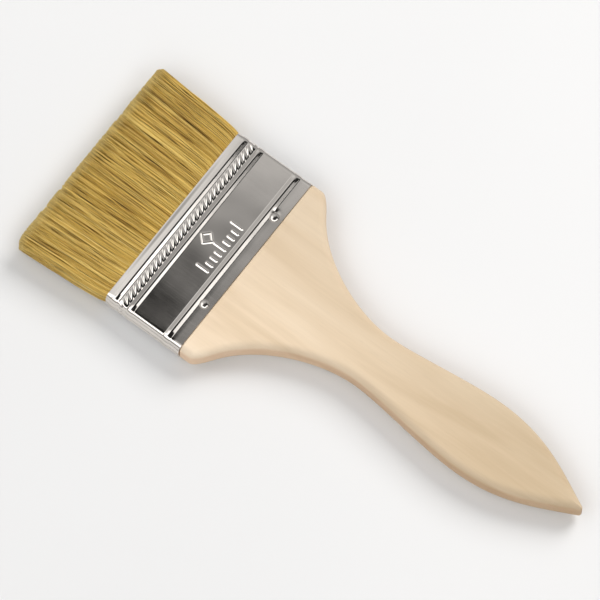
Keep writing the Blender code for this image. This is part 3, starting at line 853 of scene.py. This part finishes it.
class Clumps:
    """Where the hairs gather: uneven columns across the brush, in layers through its thickness."""

    COLUMN_EDGES = 110
    LAYERS = 14
    LAYER_DEPTH = 0.8 * MM
    SLITS = 520
    SLIT_REACH = 1.2 * MM  # how far to each side a slit still pushes hairs

    def __init__(self, rng):
        widths = rng.uniform(0.45 * MM, 1.25 * MM, self.COLUMN_EDGES)
        self.edges = np.cumsum(widths) - widths.sum() / 2
        columns = self.COLUMN_EDGES + 1
        each = (columns, self.LAYERS)
        self.gather = rng.uniform(0.0, 0.4, columns)[:, None] + rng.normal(0, 0.07, each)
        self.onset = rng.uniform(0.5, 0.9, columns)[:, None] + rng.normal(0, 0.05, each)
        self.lean = rng.normal(0, 0.1 * MM, (columns, 1)) + rng.normal(0, 0.08 * MM, each)
        self.rise = rng.normal(0, 0.05 * MM, each)
        self.short = rng.gamma(1.5, 0.09 * MM, (columns, 1)) + rng.gamma(1.2, 0.07 * MM, each)
        self.tone = rng.normal(0, 0.02, each)
        self.slit_x = rng.uniform(-1, 1, self.SLITS) * TIP_HALF_X
        self.slit_at = 1.02 - 0.85 * rng.beta(1.1, 1.5, self.SLITS)
        self.slit_half = rng.uniform(0.05, 0.17, self.SLITS)
        self.slit_open = rng.uniform(0.07 * MM, 0.22 * MM, self.SLITS)

    def find(self, x, z):
        """Each hair's column and layer, and the middle of its column."""
        column = np.searchsorted(self.edges, x)
        layer = np.floor(z / self.LAYER_DEPTH).astype(int) + self.LAYERS // 2
        layer = np.clip(layer, 0, self.LAYERS - 1)
        lows = self.edges[np.clip(column - 1, 0, self.COLUMN_EDGES - 1)]
        highs = self.edges[np.clip(column, 0, self.COLUMN_EDGES - 1)]
        middle = np.where(highs > lows, (lows + highs) / 2, x)
        return column, layer, middle

    def part(self, x, out):
        """How far the short slits between the hairs push each of them aside, along its length."""
        moved = np.zeros(out.shape)
        for slit_x, at, half, opening in zip(self.slit_x, self.slit_at, self.slit_half, self.slit_open):
            away = x - slit_x
            near = np.abs(away) < self.SLIT_REACH
            side = np.sign(away[near]) * opening * (1 - np.abs(away[near]) / self.SLIT_REACH) ** 2
            moved[near] += side[:, None] * np.exp(-(((out[near] - at) / half) ** 2))
        return moved


def pack_size(out):
    """Half the width and half the thickness of the hairs at shares of the free length, and how much of the
    quick swell at the mouth is past."""
    quick = 1 - np.exp(-out * BRISTLE_OUT / SWELL_OUT)
    half_x = MOUTH_HALF_X + (SWELL_HALF_X - MOUTH_HALF_X) * quick + (TIP_HALF_X - SWELL_HALF_X) * out
    half_z = MOUTH_HALF_Z + (SWELL_HALF_Z - MOUTH_HALF_Z) * quick + (TIP_HALF_Z - SWELL_HALF_Z) * out
    return half_x, half_z, quick


def hair_paths(u, depth, start, clumps, rng):
    """Paths of hairs from start, a share of the free length, to their tips, and their tones, with painted
    shade on deeper hairs and painted shadows of gaps between clumps in them.
    """
    hairs = len(u)
    x0, z0 = rounded_spot(u, depth, MOUTH_HALF_X, MOUTH_HALF_Z)
    across, through = x0 / MOUTH_HALF_X, z0 / MOUTH_HALF_Z
    x1, z1 = across * TIP_HALF_X, through * TIP_HALF_Z
    column, layer, middle = clumps.find(x1, z1)
    length = BRISTLE_OUT - clumps.short[column, layer] - rng.gamma(1.3, 0.12 * MM, hairs)
    corner = np.where(across < 0, *CORNER_SHORT) * smoothstep(0.94, 1.0, np.abs(across)) ** 2
    length -= corner + FACE_SHORT * smoothstep(0.6, 1.0, np.abs(through))
    root = -ROOT_DEPTH / BRISTLE_OUT
    shares = [root, *HAIR_STOPS] if start <= 0 else list(np.linspace(start, 1, 4))
    reach = np.broadcast_to(np.array(shares), (hairs, len(shares)))
    out = np.clip(reach, 0, 1)
    half_x, half_z, quick = pack_size(out)
    onset = clumps.onset[column, layer][:, None]
    pull = clumps.gather[column, layer][:, None] * smoothstep(onset, 1.0, out)
    x = across[:, None] * half_x + (middle - x1)[:, None] * np.clip(pull, 0, 0.65)
    x += clumps.part(x1, out)
    z = through[:, None] * half_z
    stray = rng.uniform(0, 1, hairs) < STRAY_SHARE
    loose = rng.normal(0, 1, hairs) * np.where(stray, 0.6 * MM, 0.1 * MM)
    x += (clumps.lean[column, layer] + loose)[:, None] * out**1.5
    x += rng.normal(0, 0.1 * MM, hairs)[:, None] * np.sin(math.pi * out)
    z += (clumps.rise[column, layer] + rng.normal(0, 0.07 * MM, hairs))[:, None] * out**1.2
    proud = rng.uniform(-0.12 * MM, 0.1 * MM, hairs)[:, None] * quick
    x = np.clip(x, -half_x - proud, half_x + proud)
    z = np.clip(z, -half_z - proud, half_z + proud)
    y = MOUTH_Y + reach * length[:, None]
    tone = HAIR_TONE + rng.normal(0, HAIR_TONE_SPREAD, hairs) + clumps.tone[column, layer]
    # Painted shade on deeper hairs, less near the mouth and the tips.
    painted_depth_shade = smoothstep(0.3 * MM, 1.0 * MM, depth)[:, None] * smoothstep(0.05, 0.45, out)
    painted_depth_shade = painted_depth_shade * (1 - smoothstep(0.78, 0.96, out))
    # Painted shadows of the gaps between clumps, as a dark stretch on some hairs.
    gap_shadow_strength = PAINTED_GAP_SHADOW * (rng.uniform(0, 1, hairs) < PAINTED_GAP_SHADOW_SHARE)[:, None]
    painted_gap_shadow = np.exp(-(((out - rng.uniform(0.2, 0.95, hairs)[:, None]) / 0.12) ** 2))
    tones_and_painted_shade = tone[:, None] - PAINTED_DEPTH_SHADE * painted_depth_shade * (start <= 0) - gap_shadow_strength * painted_gap_shadow
    return np.stack([x, y, MID_Z + z], -1), out, tones_and_painted_shade


def make_hair_set(name, count, depths, start, facing, look, clumps, rng):
    """Hairs of one row, front or back, between two depths from the skin."""
    u = rng.uniform(0, 1, count)
    depth = rng.uniform(*depths, count)
    paths, out, tones_and_painted_shade = hair_paths(u, depth, start, clumps, rng)
    mine = (paths[:, 0, 2] - MID_Z) * facing > 0
    paths, out, tones_and_painted_shade = paths[mine], out[mine], tones_and_painted_shade[mine]
    thick = HAIR_RADIUS * rng.uniform(0.8, 1.15, len(paths))[:, None]
    radii = thick * (1 - 0.45 * smoothstep(0.75, 1.0, out))
    return tubes(name, paths, radii, rng.uniform(0, 2 * math.pi, len(paths)), tones_and_painted_shade, look)


def make_core(facing, look):
    """The solid mass behind the outer hairs, which keeps light from passing through the row; its dark colour
    is painted shade.
    """
    one = np.ones(CORE_POINTS)
    rings = []
    for s in np.linspace(-ROOT_DEPTH, CORE_REACH * BRISTLE_OUT, CORE_STATIONS):
        half_x, half_z, _ = pack_size(max(0.0, s) / BRISTLE_OUT)
        half_x, half_z = half_x - CORE_INSET, half_z - CORE_INSET
        xs = np.linspace(-half_x, half_x, CORE_POINTS)
        top = np.stack([xs, one * (MOUTH_Y + s), one * (MID_Z + facing * half_z)], -1)
        low = np.stack([xs[::-1], one * (MOUTH_Y + s), one * (MID_Z + facing * 0.05 * MM)], -1)
        rings.append(np.concatenate([top, low]))
    size = len(rings[0])
    verts = np.concatenate(rings)
    faces = grid_faces(len(rings), size, closed=True, flip=facing > 0)
    ends = [list(range(size)), [len(verts) - 1 - i for i in range(size)]]
    faces += ends if facing > 0 else [end[::-1] for end in ends]
    name = "bristle_heart_front" if facing > 0 else "bristle_heart_back"
    return mesh_object(name, verts, faces, look, sharp=40)


def make_bristles(hair_look, core_look):
    rng = np.random.default_rng(SEED + 2)
    clumps = Clumps(rng)
    for facing, face in ((1, "front"), (-1, "back")):
        shared = (facing, hair_look, clumps, rng)
        outer = make_hair_set(f"bristles_{face}", OUTER_HAIRS, OUTER_DEPTH, 0, *shared)
        inner = make_hair_set(f"bristles_{face}_inner", INNER_HAIRS, INNER_DEPTH, INNER_START, *shared)
        core = make_core(facing, core_look)
        for piece in (outer, inner, core):
            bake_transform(piece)
        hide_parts(f"bristle_root_{face}", f"bristle_ends_{face}")


# ---------------------------------------------------------------- stage, light and camera


def make_floor():
    bpy.ops.mesh.primitive_plane_add(size=6.0)
    floor = bpy.context.object
    floor.name = "floor"
    floor.data.materials.append(floor_look())


KEY_DIRECTION = (0.72, -0.1, 0.66)
KEY_DISTANCE = 2.2
KEY_SIZE = 1.2
KEY_POWER = 33.3
KEY_TINT = (1.0, 0.98, 0.96)
SKY_STRENGTH = 0.9


def make_key_light():
    """A square soft light that faces the brush from above the right-hand side."""
    lamp = bpy.data.lights.new("key", "AREA")
    lamp.shape = "RECTANGLE"
    lamp.size, lamp.size_y = KEY_SIZE, KEY_SIZE
    lamp.energy = KEY_POWER
    lamp.color = KEY_TINT
    obj = bpy.data.objects.new("key", lamp)
    aim = Vector(KEY_DIRECTION).normalized()
    obj.location = aim * KEY_DISTANCE
    obj.rotation_mode = "QUATERNION"
    obj.rotation_quaternion = aim.to_track_quat("Z", "Y")
    obj.visible_glossy = False  # the dome gives the metal its highlights
    bpy.context.scene.collection.objects.link(obj)


def make_world():
    """A studio dome. Seen from the brush it is bright behind the heel and on the left, dark overhead, and
    on the right-hand side, past a soft edge, it is an even grey."""
    world = bpy.data.worlds.new("studio")
    world.use_nodes = True
    tree = world.node_tree
    split = tree.nodes.new("ShaderNodeSeparateXYZ")
    tree.links.new(tree.nodes.new("ShaderNodeTexCoord").outputs["Generated"], split.inputs["Vector"])

    def ramp(stops):
        made = tree.nodes.new("ShaderNodeValToRGB")
        points = made.color_ramp.elements
        while len(points) < len(stops):
            points.new(0.5)
        for point, (place, value) in zip(points, stops):
            point.position = place
            point.color = (value, value, value, 1.0)
        tree.links.new(split.outputs["Z"], made.inputs["Fac"])
        return made.outputs["Color"]

    def blend(axis, low, high, a, b):
        """a where the axis is below low, b where it is above high."""
        share = tree.nodes.new("ShaderNodeMapRange")
        share.interpolation_type = "SMOOTHSTEP"
        share.inputs["From Min"].default_value = low
        share.inputs["From Max"].default_value = high
        tree.links.new(split.outputs[axis], share.inputs["Value"])
        made = tree.nodes.new("ShaderNodeMix")
        made.data_type = "RGBA"
        sockets = {s.identifier: s for s in made.inputs}
        tree.links.new(share.outputs["Result"], sockets["Factor_Float"])
        tree.links.new(a, sockets["A_Color"])
        tree.links.new(b, sockets["B_Color"])
        return next(s for s in made.outputs if s.identifier == "Result_Color")

    # Brightness by height: 0 at the horizon, 1 overhead
    heel_side = ramp(
        ((0.0, 0.4), (0.45, 0.3), (0.62, 0.4), (0.72, 2.6), (0.84, 2.6), (0.89, 0.1), (0.93, 0.02))
    )
    mouth_side = ramp(((0.0, 0.4), (0.33, 0.34), (0.55, 0.45), (0.72, 1.15), (0.85, 0.9), (0.91, 0.6)))
    mouth_left = ramp(((0.0, 0.4), (0.40, 0.34), (0.60, 0.8), (0.70, 2.0), (0.93, 2.0), (0.97, 0.4)))
    far_left = ramp(
        ((0.0, 0.4), (0.25, 0.12), (0.38, 0.9), (0.52, 1.1), (0.62, 2.3), (0.86, 2.3), (0.90, 0.05))
    )
    right_heel = ramp(((0.0, 0.4), (0.40, 0.3), (0.55, 0.05), (0.97, 0.02)))
    right_panel = ramp(((0.0, 0.5), (0.33, 0.45), (0.60, 0.55), (0.90, 0.68), (0.95, 0.73)))
    right_mouth = ramp(((0.0, 0.5), (0.33, 0.42), (0.55, 0.65), (0.80, 0.85), (0.91, 0.78)))
    far_right = ramp(((0.0, 0.45), (0.40, 0.45), (0.90, 0.6)))
    heel = blend("X", 0.25, 0.32, heel_side, right_heel)
    panel = blend("X", 0.231, 0.324, heel_side, right_panel)
    mouth = blend("X", 0.225, 0.345, blend("X", 0.0, 0.2, mouth_left, mouth_side), right_mouth)
    middle = blend("Y", 0.26, 0.36, blend("Y", 0.06, 0.15, heel, panel), mouth)
    left = blend("X", -0.62, -0.42, far_left, middle)
    sky = tree.nodes["Background"]
    tree.links.new(blend("X", 0.52, 0.68, left, far_right), sky.inputs["Color"])
    sky.inputs["Strength"].default_value = SKY_STRENGTH
    bpy.context.scene.world = world


# The camera looks down at the front face from the lower left of the handle
CAMERA_AZIMUTH = math.radians(-56.19)
CAMERA_ELEVATION = math.radians(70.79)
CAMERA_ROLL = math.radians(3.45)
CAMERA_AIM = (1.4 * MM, MOUTH_Y - 55.2 * MM, MID_Z + MOUTH_HALF)
CAMERA_DISTANCE = 2.79
CAMERA_LENS = 475.6


def make_camera():
    camera = bpy.data.objects.new("camera", bpy.data.cameras.new("camera"))
    level = math.cos(CAMERA_ELEVATION)
    back = Vector(
        (math.sin(CAMERA_AZIMUTH) * level, -math.cos(CAMERA_AZIMUTH) * level, math.sin(CAMERA_ELEVATION))
    )
    camera.location = Vector(CAMERA_AIM) + back * CAMERA_DISTANCE
    camera.rotation_mode = "QUATERNION"
    camera.rotation_quaternion = (-back).to_track_quat("-Z", "Y") @ Quaternion((0, 0, 1), CAMERA_ROLL)
    camera.data.lens = CAMERA_LENS
    camera.data.clip_end = 50.0
    bpy.context.scene.collection.objects.link(camera)
    bpy.context.scene.camera = camera


# ---------------------------------------------------------------- the brush


def main():
    bpy.context.scene.view_settings.view_transform = "Standard"
    make_camera()
    make_world()
    make_key_light()
    make_floor()

    wood = wood_look()
    for piece in (make_handle(wood), make_tenon(wood)):
        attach(piece, "brush")
        if piece.name == "handle_board":
            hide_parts("handle")

    ferrule = make_ferrule(steel_look("tinned_steel", colour(230, 224, 217), 0.085))
    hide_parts("ferrule")
    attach(ferrule, "brush")

    nail_look = steel_look("nail_steel", colour(218, 212, 206), 0.16)
    for face in ("front", "back"):
        for hand in ("left", "right"):
            make_nail(f"nail_{face}_{hand}", nail_look)

    make_bristles(bristle_look(), bristle_core_look())
    for node, look in (("spacer_strip", spacer_look()), ("bristle_setting", resin_look())):
        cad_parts[node].data.materials.clear()
        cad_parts[node].data.materials.append(look)


main()
